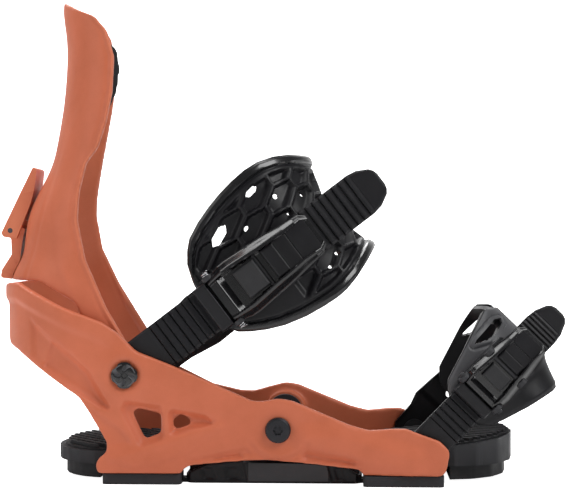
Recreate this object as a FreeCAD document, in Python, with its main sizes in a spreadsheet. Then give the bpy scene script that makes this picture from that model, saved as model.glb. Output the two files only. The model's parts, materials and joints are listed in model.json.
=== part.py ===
import FreeCAD, Part
import math
import os

# Strap-in snowboard binding, right foot. Millimetres. Origin: centre of the disc on the board plane.
# +X points to the toe, +Y to the inner side of the foot, +Z up.

doc = FreeCAD.newDocument("binding")
sheet = doc.addObject("Spreadsheet::Sheet", "sizes")

SIZES = {
    # disc and base plate
    "disc_radius": 40, "disc_plug_radius": 34, "disc_plug_height": 5, "disc_height": 8,
    "screw_spacing": 40, "screw_radius": 3.2, "screw_head_radius": 6, "screw_head_depth": 3,
    "run_gap": 0.05, "body_gap": 0.3, "lean_travel": 10,
    "base_front": 48, "base_rear": -54, "base_half_width": 47, "base_height": 5, "base_wall": 4,
    "base_side_height": 12, "tail_height": 2.5, "tail_rear": -98, "tail_front": 90,
    # kingpin
    "kingpin_height": 31.9, "kingpin_radius": 4, "kingpin_head_radius": 7.1, "kingpin_head": 3,
    "sleeve_radius": 6, "ear_radius": 11, "boss_radius": 13,
    # hanger
    "rail_half_width": 57, "rail_toe_half_width": 64, "rail_heel_half_width": 57.2, "rail_wall": 5,
    "loop_centre": -116, "loop_depth": 50, "foot_height": 6.4, "floor_thickness": 4,
    "foot_rear": -103.4, "foot_front": 97,
    # strap and highback pivot
    "pivot_x": -88, "pivot_z": 63, "pivot_radius": 4, "thumb_radius": 6.6, "thumb_height": 3,
    "wing_half_width": 48.3, "wing_wall": 4, "liner_thickness": 2,
    # straps
    "strap_thickness": 3, "ankle_angle": 37.3, "ankle_strap_y": 51.6, "ankle_half_width": 13.6,
    "toe_angle": 45.9, "toe_strap_y": 55.6, "toe_half_width": 10.8, "toe_peg_wall": 58.3,
    "toe_pivot_x": 82, "toe_pivot_z": 19.7,
    "ankle_pad_half_width": 46, "ankle_crest": 160, "pad_wall": 5,
    "toe_cap_half_width": 50, "toe_crest": 89, "rib_pitch": 4.7,
    # forward lean adjuster
    "lean_half_width": 13, "lean_pin_radius": 1.5,
}
for row, (alias, value) in enumerate(SIZES.items(), start=1):
    sheet.set("A%d" % row, alias)
    sheet.set("B%d" % row, str(value))
    sheet.setAlias("B%d" % row, alias)
doc.recompute()

Vec = FreeCAD.Vector
UP = Vec(0, 0, 1)
ACROSS = Vec(0, 1, 0)
NODES = []


def size(name):
    return float(getattr(sheet, name))


# ---------------------------------------------------------------- helpers

def place(obj, origin=(0, 0, 0), axis=(0, 0, 1), angle=0):
    obj.Placement = FreeCAD.Placement(Vec(*origin), FreeCAD.Rotation(Vec(*axis), angle))
    return obj


def node(obj, name):
    obj.Label = name
    NODES.append(obj)
    return obj


def feature(name, shape, origin=(0, 0, 0), axis=(0, 0, 1), angle=0):
    """A finished solid as its own document object; its placement is set after its shape."""
    obj = doc.addObject("Part::Feature", name)
    obj.Shape = shape
    place(obj, origin, axis, angle)
    return node(obj, name)


def bound(kind, name, **expressions):
    """A Part primitive whose sizes are bound to the sheet."""
    obj = doc.addObject("Part::" + kind, name)
    for prop, text in expressions.items():
        obj.setExpression(prop, text)
    return obj


def joined(name, *objs):
    obj = doc.addObject("Part::MultiFuse", name)
    obj.Shapes = list(objs)
    return obj


def minus(name, base, *tools):
    obj = doc.addObject("Part::Cut", name)
    obj.Base = base
    obj.Tool = tools[0] if len(tools) == 1 else joined(name + "_tools", *tools)
    return obj


def rounded_wire(points, radius):
    """Closed wire through points, each corner rounded by up to radius."""
    edges = []
    count = len(points)
    arcs = []
    for i in range(count):
        before, here, after = points[i - 1], points[i], points[(i + 1) % count]
        to_before, to_after = before.sub(here), after.sub(here)
        reach = min(to_before.Length, to_after.Length) * 0.45
        to_before.normalize()
        to_after.normalize()
        half = math.acos(max(-1.0, min(1.0, to_before.dot(to_after)))) / 2
        if math.pi / 2 - half < 0.02 or radius <= 0:
            arcs.append((here, None, here))
            continue
        cut = min(reach, radius / math.tan(half))
        real = cut * math.tan(half)
        start, end = here + to_before * cut, here + to_after * cut
        bisector = to_before + to_after
        bisector.normalize()
        middle = here + bisector * (real / math.sin(half) - real)
        arcs.append((start, middle, end))
    for i in range(count):
        start, middle, end = arcs[i]
        if middle is not None:
            edges.append(Part.Arc(start, middle, end).toShape())
        following = arcs[(i + 1) % count][0]
        if end.distanceToPoint(following) > 1e-4:
            edges.append(Part.makeLine(end, following))
    return Part.Wire(edges)


def side_prism(points, low, high, radius=0.0):
    """Outline in X and Z, rounded, extruded along Y from low to high."""
    wire = rounded_wire([Vec(x, low, z) for x, z in points], radius)
    return Part.Face(wire).extrude(Vec(0, high - low, 0))


def plan_prism(points, low, high, radius=0.0):
    """Outline in X and Y, rounded, extruded along Z from low to high."""
    wire = rounded_wire([Vec(x, y, low) for x, y in points], radius)
    return Part.Face(wire).extrude(Vec(0, 0, high - low))


def rod(radius, low, high, x=0.0, z=0.0):
    """Solid cylinder along Y from low to high."""
    return Part.makeCylinder(radius, high - low, Vec(x, low, z), ACROSS)


def block(x0, x1, y0, y1, z0, z1):
    return Part.makeBox(x1 - x0, y1 - y0, z1 - z0, Vec(x0, y0, z0))


def mirrored(shape):
    """The same shape on the other side of the binding."""
    return shape.mirror(Vec(0, 0, 0), ACROSS)


def pair(shape):
    return Part.makeCompound([shape, mirrored(shape)])


def half_ellipse(centre, depth, half_width, z, count=9, toward=-1):
    """Points of a half ellipse in plan, from +half_width to -half_width, bulging toward -X or +X."""
    points = []
    for i in range(count):
        turn = math.pi * i / (count - 1)
        points.append(Vec(centre + toward * depth * math.sin(turn), half_width * math.cos(turn), z))
    return points


# ---------------------------------------------------------------- disc and base

def mounting_disc():
    plug = bound("Cylinder", "disc_plug", Radius="sizes.disc_plug_radius", Height="sizes.disc_height")
    flange = bound("Cylinder", "disc_flange", Radius="sizes.disc_radius",
                   Height="sizes.disc_height - sizes.disc_plug_height")
    place(flange, (0, 0, size("disc_plug_height")))
    tools = []
    half = size("screw_spacing") / 2
    sink = size("disc_height") - size("screw_head_depth")
    for i, (x, y) in enumerate(((half, half), (-half, half), (-half, -half), (half, -half))):
        hole = bound("Cylinder", "disc_hole_%d" % i, Radius="sizes.screw_radius", Height="sizes.disc_height")
        place(hole, (x, y, 0))
        head = bound("Cylinder", "disc_sink_%d" % i, Radius="sizes.screw_head_radius",
                     Height="sizes.screw_head_depth")
        place(head, (x, y, sink))
        tools += [hole, head]
    return node(minus("disc_cut", joined("disc_blank", plug, flange), *tools), "mounting_disc")


def base_plate():
    gap = size("run_gap") * 2
    rear, front, half = size("base_rear"), size("base_front"), size("base_half_width")
    thick, wall = size("base_height"), size("base_wall")
    plate = block(rear, front, -half, half, 0, thick - gap)
    plate = plate.makeFillet(6, [e for e in plate.Edges if abs(e.tangentAt(e.FirstParameter).z) > 0.9])
    kingpin = size("kingpin_height")
    sides = []
    for sign in (-1, 1):
        low, high = sorted((sign * half, sign * (half - wall)))
        rise = size("base_side_height")
        skirt = side_prism([(rear + 4, 1), (front - 4, 1), (front - 8, rise - 3), (20, rise), (-24, rise),
                            (rear + 8, rise - 3)], low, high, 2)
        ear = side_prism([(-24, 2), (24, 2), (9, kingpin), (-9, kingpin)], low, high)
        ear = ear.fuse(rod(size("ear_radius"), low, high, 0, kingpin))
        low_y, high_y = sorted((sign * (half - 13), sign * (half - 3)))
        tail = block(size("tail_rear"), size("tail_front"), low_y, high_y, 0, size("tail_height"))
        sides += [skirt, ear, tail]
    plate = plate.fuse(sides).removeSplitter()
    hole = Part.makeCylinder(size("disc_plug_radius") + size("run_gap"), thick + 2, Vec(0, 0, -1))
    bore = rod(size("kingpin_radius") + 0.02, -half - 1, half + 1, 0, kingpin)
    return feature("base_plate", plate.cut([hole, bore]))


def base_footbed():
    gap = size("body_gap")
    half = size("base_half_width") - size("base_wall") - 1
    rear, front = size("base_rear") + 1.5, size("base_front") - 1.5
    top = 20
    pad = block(rear, front, -half, half, size("base_height"), top)
    pad = pad.makeFillet(5, [e for e in pad.Edges if abs(e.tangentAt(e.FirstParameter).z) > 0.9])
    pad = pad.makeFillet(1.5, [e for e in pad.Edges if e.BoundBox.ZMin > top - 0.1])
    disc = Part.makeCylinder(size("disc_radius") + gap, size("disc_height") + gap)
    reach = size("screw_spacing") / 2 + 12
    window = block(-reach, reach, -reach, reach, 0, top + 1)
    window = window.makeFillet(5, [e for e in window.Edges if abs(e.tangentAt(e.FirstParameter).z) > 0.9])
    return feature("base_footbed", pad.cut([disc, window]))


def kingpin_sleeves():
    outer = size("rail_half_width") + 0.6
    inner = size("base_half_width")
    pieces = rod(size("sleeve_radius"), -outer, -inner).cut(rod(size("kingpin_radius") + 0.02, -outer, -inner))
    return feature("kingpin_sleeves", pair(pieces), (0, 0, size("kingpin_height")))


def kingpin_screws():
    seat = size("rail_half_width") + 0.6
    head_end = seat + size("kingpin_head")
    inner = size("base_half_width") - size("base_wall") - 0.8
    head = rod(size("kingpin_head_radius"), -head_end, -seat)
    head = head.makeFillet(1.2, [e for e in head.Edges if e.BoundBox.YMax < -head_end + 0.1])
    key = Part.Face(Part.Wire(Part.makePolygon(
        [Vec(2.9 * math.cos(math.radians(a)), -head_end, 2.9 * math.sin(math.radians(a)))
         for a in range(0, 361, 60)]))).extrude(Vec(0, 2, 0))
    screw = head.fuse(rod(size("kingpin_radius"), -seat, -inner)).cut(key)
    return feature("kingpin_screws", pair(screw), (0, 0, size("kingpin_height")))


def bushings(name, rear, front, inner, outer):
    top = size("foot_height") - size("body_gap")
    pad = plan_prism([(rear, -outer), (front, -outer), (front, -inner), (rear, -inner)], 0, top, 3)
    half = size("base_half_width")
    tail = block(size("tail_rear") - 1, size("tail_front") + 1, 3 - half, 14 - half, -1, size("tail_height"))
    slot = block(rear - 1, front + 1, 2.9 - half, 0, -1, size("tail_height") + 0.1)
    return feature(name, pair(pad.cut([tail, slot])))


# ---------------------------------------------------------------- hanger

def hanger_side(outer_side):
    """Side outline of a hanger rail: toe foot, arch, heel foot, heel loop, then the top line forward."""
    lower = [
        (95, 6.4), (48.4, 6.4), (47, 9.6), (12.6, 13.2), (-7, 14.6), (-22, 14), (-50, 11.4), (-54, 9.6),
        (-56, 6.4), (-103.4, 6.4), (-105.4, 11), (-103, 15.4), (-98.6, 18.5), (-98.6, 24.6),
        (-109, 42), (-114.4, 50), (-145.8, 71), (-153.6, 76), (-162, 79.4), (-162.4, 102), (-165.6, 106),
        (-165.6, 114.5), (-154, 116), (-124.3, 101.7), (-101.5, 93.2),
    ]
    if outer_side:
        top = [(-93, 87.5), (-81.6, 76.6), (-61.6, 68.7), (-14.9, 48.4), (-9, 48.1)]
    else:
        top = [(-90, 83), (-79, 70), (-69.7, 60.5), (-46.7, 49), (-29, 44.8), (-19.8, 44.5), (-10, 47.3)]
    return lower + top + [(0, 49.8), (8, 48.6), (41, 34.9), (52, 32), (63, 33), (73, 33.2), (92, 26.4),
                          (97.8, 20.7)]


def ring_plan(inset):
    """Plan outline of the hanger as a U, rails to heel loop, set in by inset."""
    centre = size("loop_centre")
    heel = size("rail_heel_half_width") - inset
    middle = size("rail_half_width") - inset
    toe = size("rail_toe_half_width") - inset
    front = size("foot_front") + 10
    past = front + 90
    points = [Vec(past, toe, 0), Vec(front, toe, 0), Vec(40, middle + 1.5, 0), Vec(0, middle, 0), Vec(-90, middle, 0)]
    points += half_ellipse(centre, size("loop_depth") - inset, heel, 0, 15)
    points += [Vec(-90, -middle, 0), Vec(0, -middle, 0), Vec(40, -middle - 1.5, 0), Vec(front, -toe, 0),
               Vec(past, -toe, 0)]
    return [(p.x, p.y) for p in points]


WINDOWS = (
    [(-84, 42), (-80.5, 43.8), (-67.3, 40.8), (-67.3, 29.9), (-75.8, 26.5), (-77.5, 28.2)],
    [(-60.4, 37.3), (-56, 41.2), (-50.2, 37.3), (-50.7, 34.5), (-59.9, 31.6)],
)
RECESSES = (
    [(-90.6, 43.6), (-87.8, 48.2), (-67.3, 45.3), (-65.6, 27.6), (-68.4, 25.4), (-78.7, 21.9), (-80.4, 23.7)],
    [(-63.2, 41), (-61.6, 43.6), (-41.6, 40.2), (-35.9, 35), (-50.2, 31.9), (-57.6, 28.8), (-62, 28.2)],
    [(-131, 84), (-119.8, 75), (-108.3, 64.7), (-99.7, 50.3), (-95, 42), (-102.6, 44), (-125.6, 59),
     (-137, 67)],
    [(-53, 13), (-22, 18.5), (-19, 15.6), (-22, 14.8)],
    [(13, 14), (16, 19), (42, 14.8), (48, 11)],
)


def hanger_frame():
    reach = size("rail_toe_half_width") + 2
    wall = size("rail_wall")
    side = side_prism(hanger_side(True), -reach, 0, 5).fuse(side_prism(hanger_side(False), 0, reach, 5))
    outer = plan_prism(ring_plan(0), 0, 130, 60)
    inner = plan_prism(ring_plan(wall), -1, 131, 60)
    frame = side.common(outer).cut(inner)
    foot, thick = size("foot_height"), size("floor_thickness")
    middle = size("rail_half_width") - wall
    toe_side = size("rail_toe_half_width") - wall - 4
    heel_floor = block(-102, -57, -middle - 1, middle + 1, foot, foot + thick)
    heel_floor = heel_floor.common(outer)
    toe_floor = block(49, 92, -toe_side - 2, toe_side + 2, foot, foot + thick)
    kingpin = size("kingpin_height")
    near = -size("rail_half_width")
    bearing = rod(size("boss_radius"), near + 0.5, near + 9, 0, kingpin)
    pivot_pad = rod(8.5, near + 1, near + wall, size("pivot_x"), size("pivot_z"))
    frame = frame.fuse([heel_floor, toe_floor, bearing, mirrored(bearing), pivot_pad, mirrored(pivot_pad)])
    cutters = [rod(size("sleeve_radius") + size("run_gap"), -reach, reach, 0, kingpin),
               rod(size("pivot_radius") + 0.02, -reach, reach, size("pivot_x"), size("pivot_z"))]
    for outline in WINDOWS:
        cutters.append(side_prism(outline, -reach, reach, 2))
    strap_room = rod(13, -size("toe_peg_wall"), 3.6 - size("toe_strap_y"), size("toe_pivot_x"), size("toe_pivot_z"))
    cutters += [strap_room, mirrored(strap_room)]
    frame = frame.cut(cutters)
    recess_depth = 1.6
    shallow = plan_prism(ring_plan(recess_depth), -2, 132, 60)
    band = plan_prism(ring_plan(-4), -1, 131, 60).cut(shallow)
    for outline in RECESSES:
        frame = frame.cut(side_prism(outline, -reach, reach, 2).common(band))
    return feature("hanger_frame", frame)


def heel_pad():
    half, rear_depth, centre = 46, 34.4, -100
    front = -57
    floor_top = size("foot_height") + size("floor_thickness")
    arc = [(p.x, p.y) for p in half_ellipse(centre, rear_depth, half, 0, 13)]
    upper = plan_prism([(front, half)] + arc + [(front, -half)], floor_top, 18, 12)
    tuck = [(p.x, p.y) for p in half_ellipse(centre, rear_depth - 4, half - 4, 0, 13)]
    lower = plan_prism(tuck, 2, floor_top, 12)
    pad = upper.fuse(lower.cut(block(-104.2, 0, -80, 80, -1, floor_top)))
    return feature("heel_pad", pad.removeSplitter())


def heel_tread():
    """Thin cover on the heel cushion with slanted ribs."""
    bottom, top, pitch = 18, 21.4, 7.8
    arc = [(p.x, p.y) for p in half_ellipse(-100, 31, 43.5, 0, 13)]
    skin = plan_prism([(-59, 43.5)] + arc + [(-59, -43.5)], bottom, bottom + 1.2, 8)
    inner = [(p.x, p.y) for p in half_ellipse(-100, 29.5, 42, 0, 13)]
    cover = plan_prism([(-60.5, 42)] + inner + [(-60.5, -42)], bottom + 1.2, top, 8)
    ribs = []
    for step in range(22):
        bar = block(0, 2.8, -90, 90, bottom, top)
        bar.rotate(Vec(0, 0, 0), UP, 40)
        bar.translate(Vec(-190 + step * pitch, 0, 0))
        ribs.append(bar.common(cover))
    return feature("heel_tread", skin.fuse(ribs).removeSplitter())


def toe_plan(half, front, rear):
    """Plan outline of the toe ramp: straight sides and a shallow curved front."""
    points = []
    for i in range(9):
        turn = math.pi * i / 8
        points.append((front - 36 + 36 * math.sin(turn), half * math.cos(turn)))
    return [(rear, half)] + points + [(rear, -half)]


def ramp_top(lift):
    """Solid above the toe ramp's sloping top, lifted by lift; the deck climbs toward the toe."""
    return side_prism([(50, 17 + lift), (150, 27.8 + lift), (150, 60), (50, 60)], -70, 70)


def toe_ramp():
    floor_top = size("foot_height") + size("floor_thickness") + size("body_gap")
    deck = plan_prism(toe_plan(49, 138, 56), floor_top, 40, 12)
    lower = plan_prism(toe_plan(45, 134, 56), 2.4, floor_top, 12)
    lower = lower.cut(block(0, 98.5, -80, 80, -1, floor_top + 1))
    return feature("toe_ramp", deck.fuse(lower).removeSplitter().cut(ramp_top(0)))


def toe_tread():
    skin = plan_prism(toe_plan(47.5, 136.5, 58), 15, 45, 8).common(ramp_top(0)).cut(ramp_top(1.2))
    ribs = []
    pitch = 6.5
    for step in range(-8, 20):
        bar = block(0, 2.4, -90, 90, 15, 45)
        bar.rotate(Vec(0, 0, 0), UP, 35)
        bar.translate(Vec(60 + step * pitch, 0, 0))
        ribs.append(bar)
    cover = plan_prism(toe_plan(46, 135, 59.5), 15, 45, 8).common(ramp_top(1.2)).cut(ramp_top(2.8))
    return feature("toe_tread", skin.fuse([bar.common(cover) for bar in ribs]).removeSplitter())


def ankle_screws():
    outer = size("rail_half_width") + 0.1
    head = rod(size("thumb_radius"), -outer - size("thumb_height"), -outer)
    lobes = [rod(1.6, -outer - 5, -outer + 0.5 - size("thumb_height") + 1,
                 7.2 * math.cos(math.radians(a)), 7.2 * math.sin(math.radians(a))) for a in range(0, 360, 90)]
    socket = rod(1.7, -outer - 5, -outer - 1)
    head = head.cut(lobes + [socket])
    screw = head.fuse(rod(size("pivot_radius"), -outer, -40.6))
    return feature("ankle_screws", pair(screw), (size("pivot_x"), 0, size("pivot_z")))


def ankle_nuts():
    outer = size("wing_half_width") - size("wing_wall") - size("body_gap")
    nut = rod(8, -outer, -outer + 3).cut(rod(size("pivot_radius") + 0.02, -outer - 1, -outer + 4))
    return feature("ankle_nuts", pair(nut), (size("pivot_x"), 0, size("pivot_z")))


def toe_pegs():
    strap = size("toe_strap_y")
    gap = size("body_gap")
    wall_face = size("toe_peg_wall")
    collar = rod(7, -wall_face, -strap - gap)
    shank = rod(size("pivot_radius"), -strap - gap, -strap + size("strap_thickness") + gap)
    flange = rod(7, -strap + size("strap_thickness") + gap, -strap + size("strap_thickness") + 2.2)
    peg = collar.fuse([shank, flange])
    return feature("toe_pegs", pair(peg), (size("toe_pivot_x"), 0, size("toe_pivot_z")))


# ---------------------------------------------------------------- highback

# Height, rear face on the centre line, half width and depth of the curved rear, for each level.
HIGHBACK_LEVELS = (
    (54, -147, 48.3, 44), (80, -154, 48.3, 44), (102, -159.8, 48.3, 44), (118, -163.3, 48.3, 45),
    (143, -155.5, 48.3, 45), (168, -147.8, 48.3, 43), (184, -139.8, 48.3, 41), (200, -135.6, 48.3, 39),
    (215, -132.9, 48.3, 37), (228, -131.2, 48.3, 36), (240, -130.2, 48, 35), (252, -129.8, 47, 34),
    (264, -130.6, 45, 33), (274, -132, 42, 32), (284, -131.8, 38, 30),
)


def highback_blank(inset):
    """Solid block inside the highback's rear skin, moved in by inset."""
    sections = []
    for height, rear, half, depth in HIGHBACK_LEVELS:
        curve = Part.BSplineCurve()
        curve.interpolate(half_ellipse(rear + depth, depth - inset, half - inset, height, 13))
        first, last = curve.StartPoint, curve.EndPoint
        front = 0
        sections.append(Part.Wire([
            curve.toShape(), Part.makeLine(last, Vec(front, last.y, height)),
            Part.makeLine(Vec(front, last.y, height), Vec(front, first.y, height)),
            Part.makeLine(Vec(front, first.y, height), first)]))
    return Part.makeLoft(sections, True, False)


def highback_outline(outer_side):
    """Side outline of one half: spine, rounded top, front edge down to the pivot, lower edge."""
    rear = [(-88, 52), (-99, 56), (-108, 78), (-118, 104), (-140, 116.6), (-190, 116.6), (-190, 283.8)]
    if outer_side:
        front = [(-131, 283.4), (-119, 276), (-108, 271.2), (-100, 262), (-95.6, 247), (-96.3, 227),
                 (-99.6, 210), (-105, 194), (-112.2, 185), (-116, 168), (-117, 152), (-112.2, 129),
                 (-100, 101), (-84, 74), (-77.5, 62), (-80, 54)]
    else:
        front = [(-131, 283.4), (-118, 277), (-110, 268), (-106.3, 248), (-109.5, 222), (-114.5, 194),
                 (-119, 169), (-120, 156), (-116.4, 135), (-105.7, 113), (-87.4, 83.6), (-77.5, 62),
                 (-80, 54)]
    return rear + front


def highback_shell():
    skin = highback_blank(0).cut(highback_blank(size("wing_wall")))
    near = side_prism(highback_outline(True), -70, 0, 8)
    far = side_prism(highback_outline(False), 0, 70, 8)
    shell = skin.common(near).fuse(skin.common(far)).removeSplitter()
    bush_hole = rod(6.5, -70, 70, size("pivot_x"), size("pivot_z"))
    return feature("highback_shell", shell.cut(bush_hole))


def highback_liner():
    wall, thick = size("wing_wall"), size("liner_thickness")
    skin = highback_blank(wall).cut(highback_blank(wall + thick))
    panel = side_prism([(-190, 135), (-190, 270), (-113, 267), (-106, 261), (-104.6, 248), (-106.5, 234),
                        (-112, 220), (-122, 200), (-130, 180), (-136, 150), (-146, 135)], -70, 70, 8)
    return feature("highback_liner", skin.common(panel))


def pivot_bushes():
    outer = size("wing_half_width")
    inner = outer - size("wing_wall")
    bush = rod(6.5, -outer, -inner).cut(rod(size("pivot_radius") + size("run_gap"), -outer - 1, 1 - inner))
    return feature("pivot_bushes", pair(bush), (size("pivot_x"), 0, size("pivot_z")))


# ---------------------------------------------------------------- forward lean adjuster

LEAN_PIN = (-163.4, 146.2)
LEAN_AXIS = (0.257, 0.966)


def clear_of_spine(body, inset):
    """Cut the highback out of a sliding body at four places along its travel."""
    blank = highback_blank(inset)
    for step in range(4):
        travel = size("lean_travel") * step / 3
        body = body.cut(blank.translated(Vec(-LEAN_AXIS[0] * travel, 0, -LEAN_AXIS[1] * travel)))
    return body


def lean_block():
    half = size("lean_half_width") - 3
    body = side_prism([(-158, 116.4), (-169.8, 117.8), (-169, 122.6), (-163, 132), (-163.4, 141),
                       (-166, 145), (-165.6, 149), (-161, 149.8), (-154.4, 147), (-156.6, 139)], -half, half, 1.5)
    pin = rod(size("lean_pin_radius"), -half - 1, half + 1, *LEAN_PIN)
    return feature("lean_block", clear_of_spine(body.cut(pin), -size("body_gap")))


def lean_pin():
    half = size("lean_half_width") - 0.3
    return feature("lean_pin", rod(size("lean_pin_radius"), -half, half, *LEAN_PIN))


def lean_lever():
    half = size("lean_half_width")
    x, z = LEAN_PIN
    outline = [(-168.8, 144.7), (-167.4, 142.4), (-159.6, 141.2), (-151, 162.4), (-149, 170), (-148, 176.6),
               (-147.4, 183), (-149.4, 184.6), (-157.6, 168)]
    body = side_prism(outline, -half, half, 1.2)
    gap = size("body_gap")
    pocket_half = half - 3 + gap
    pocket = block(-190, -120, -pocket_half, pocket_half, 130, 152.5)
    bore = rod(size("lean_pin_radius") + size("run_gap"), -half - 1, half + 1, x, z)
    return feature("lean_lever", clear_of_spine(body.cut([pocket, bore]), -2 * gap))


# ---------------------------------------------------------------- straps

class Strap:
    """One strap and its ratchet, drawn along its own X from the pivot; Y is across the foot."""

    def __init__(self, name, scale, length, hinge, lever_end):
        self.name = name
        self.half = size(name + "_half_width")
        self.outer = size(name + "_strap_y")
        self.inner = self.outer - size("strap_thickness")
        self.scale = scale
        self.length = length
        self.hinge = hinge
        self.lever_end = lever_end
        self.origin = (size("pivot_x"), 0, size("pivot_z"))
        if name == "toe":
            self.origin = (size("toe_pivot_x"), 0, size("toe_pivot_z"))
        self.angle = -size(name + "_angle")
        self.pin_y = -self.outer - 4.4
        self.wall = 2.6

    def add(self, part, shape):
        return feature(self.name + "_" + part, shape, self.origin, (0, 1, 0), self.angle)

    def ladder(self):
        """Strap with a pivot eye, a run of ratchet ribs and a tapered tip."""
        half, end = self.half, self.length
        ribs_top, slab_top = -self.outer, 1.1 - self.outer
        outline = [(-0.5 * half, -half), (end - 0.9 * half, -half), (end, -0.45 * half), (end, 0.45 * half),
                   (end - 0.9 * half, half), (-0.5 * half, half), (-0.85 * half, 0)]
        slab = side_prism(outline, slab_top, -self.inner, 3)
        pitch = size("rib_pitch")
        start = 2.2 * half
        points = [Vec(start, slab_top, 0)]
        x = start
        while x < end - half - pitch:
            points += [Vec(x + 0.25 * pitch, ribs_top, 0), Vec(x + 0.7 * pitch, ribs_top, 0),
                       Vec(x + 0.78 * pitch, slab_top - 0.02, 0), Vec(x + pitch, slab_top - 0.02, 0)]
            x += pitch
        points.append(Vec(x + 0.01, slab_top + 0.3, 0))
        points.append(Vec(start, slab_top + 0.3, 0))
        comb = Part.Face(Part.makePolygon(points + [points[0]])).extrude(Vec(0, 0, 2 * half - 4))
        comb.translate(Vec(0, 0, 2 - half))
        root = side_prism([(-0.7 * half, 0), (-0.4 * half, 0.8 * half), (1.4 * half, 0.8 * half), (1.9 * half, 0),
                           (1.4 * half, -0.8 * half), (-0.4 * half, -0.8 * half)], ribs_top, slab_top, 3)
        eye = rod(size("pivot_radius") + size("run_gap"), -90, 0)
        return self.add("ladder", slab.fuse([comb, root]).cut(eye))

    def link(self, bolt_at, travel):
        """Connector on the inner side, with a slot along which the strap is set."""
        half = self.half * 1.05
        low, high = self.inner, self.outer
        low_end, high_end = bolt_at + travel[0], bolt_at + travel[1]
        end = high_end + half
        outline = [(-0.5 * half, -half), (end - 0.5 * half, -half), (end, -0.4 * half), (end, 0.4 * half),
                   (end - 0.5 * half, half), (-0.5 * half, half), (-0.85 * half, 0)]
        slab = side_prism(outline, low, high, 3)
        reach = size("pivot_radius") + 0.1
        slot = side_prism([(low_end - reach - 0.3, -reach), (high_end + reach + 0.3, -reach),
                           (high_end + reach + 0.3, reach), (low_end - reach - 0.3, reach)], low - 1, high + 1)
        eye = rod(size("pivot_radius") + size("run_gap"), low - 1, high + 1)
        return self.add("link", slab.cut([slot, eye]))

    def link_bolt(self, bolt_at, pad_half):
        gap = size("body_gap")
        low, high = self.inner, self.outer
        spacer = rod(7, pad_half, low - gap, bolt_at)
        shank = rod(size("pivot_radius"), low - gap, high + gap, bolt_at)
        head = rod(6.5, high + gap, high + gap + 2, bolt_at)
        return self.add("link_bolt", spacer.fuse([shank, head]))

    def buckle_base(self, pad_half):
        """Channel under the ladder with two walls that hold the pins."""
        wall_in = self.half + 0.5
        wall_out = wall_in + self.wall
        near, far = self.hinge - 8 * self.scale, self.hinge + 44 * self.scale
        floor = side_prism([(near, -wall_out), (far, -wall_out), (far, wall_out), (near, wall_out)],
                           size("body_gap") - self.inner, -pad_half, 3)
        wall_top = self.pin_y + 2.2
        pawl = self.pawl_hinge()
        pieces = [floor]
        for sign in (-1, 1):
            low, high = sorted((sign * wall_in, sign * wall_out))
            wall = block(near + 2, far - 2, wall_top, size("body_gap") - self.inner, low, high)
            ears = [Part.makeCylinder(3.5, high - low, Vec(u, self.pin_y, low)) for u in (self.hinge, pawl)]
            pieces += [wall] + ears
        shape = pieces[0].fuse(pieces[1:]).removeSplitter()
        pins = [Part.makeCylinder(1.5, 80, Vec(u, self.pin_y, -40)) for u in (self.hinge, pawl)]
        return self.add("buckle_base", shape.cut(pins))

    def pawl_hinge(self):
        return self.hinge + 28 * self.scale

    def buckle_pins(self):
        wall_out = self.half + 0.5 + self.wall
        lever = self.lever_half()
        pins = [Part.makeCylinder(1.5, 2 * lever - 1, Vec(self.hinge, self.pin_y, 0.5 - lever)),
                Part.makeCylinder(1.5, 2 * wall_out, Vec(self.pawl_hinge(), self.pin_y, -wall_out))]
        return self.add("buckle_pins", Part.makeCompound(pins))

    def lever_half(self):
        return self.half + 0.5 + self.wall + 0.4 + 2

    def lever(self):
        """Ratchet lever: side flanges round the pin, an open window and a solid grip at the free end."""
        half = self.lever_half()
        pin, top = self.pin_y, self.pin_y - 10
        start, end = self.hinge - 3.5, self.lever_end
        low = pin - 4
        step = self.pawl_hinge() + 14 * self.scale
        outline = [(start, low), (step, low), (step + 5, pin + 2), (end - 1, pin + 2), (end, pin),
                   (end - 6, pin - 5), (step, top), (start + 6, top), (start, top + 3)]
        points = [Vec(u, y, -half) for u, y in outline]
        body = Part.Face(rounded_wire(points, 1.5)).extrude(Vec(0, 0, 2 * half))
        taper = side_prism([(start - 1, -half), (step, -half), (end + 1, 3 - half), (end + 1, half - 3),
                            (step, half), (start - 1, half)], -90, 0, 2)
        body = body.common(taper)
        flange_in = half - 2
        flanges = []
        for sign in (-1, 1):
            low_v, high_v = sorted((sign * flange_in, sign * half))
            cheek = Part.makeCylinder(4.2, high_v - low_v, Vec(self.hinge, pin, low_v))
            web = block(self.hinge - 3.4, self.hinge + 10, pin - 5, pin + 1.5, low_v, high_v)
            flanges += [cheek, web]
        body = body.fuse(flanges).removeSplitter()
        window = block(self.window()[0], self.window()[1], -90, 0, -self.window()[2], self.window()[2])
        bore = Part.makeCylinder(1.5 + size("run_gap"), 80, Vec(self.hinge, pin, -40))
        return self.add("lever", body.cut([window, bore]))

    def window(self):
        """Start, end and half width of the opening in the lever."""
        return self.hinge + 10.5 * self.scale, self.pawl_hinge() + 6 * self.scale, self.half - 2.5

    def lever_cover(self):
        """Raised block set on the lever between the window and the grip."""
        start = self.window()[1] + 3 * self.scale
        top = self.pin_y - 10
        reach = self.window()[2] - 1
        shape = block(start, start + 11 * self.scale, top - 1.6, top, -reach, reach)
        shape = shape.makeChamfer(0.8, [e for e in shape.Edges if e.BoundBox.YMax < top - 1.5])
        return self.add("lever_cover", shape)

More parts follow.
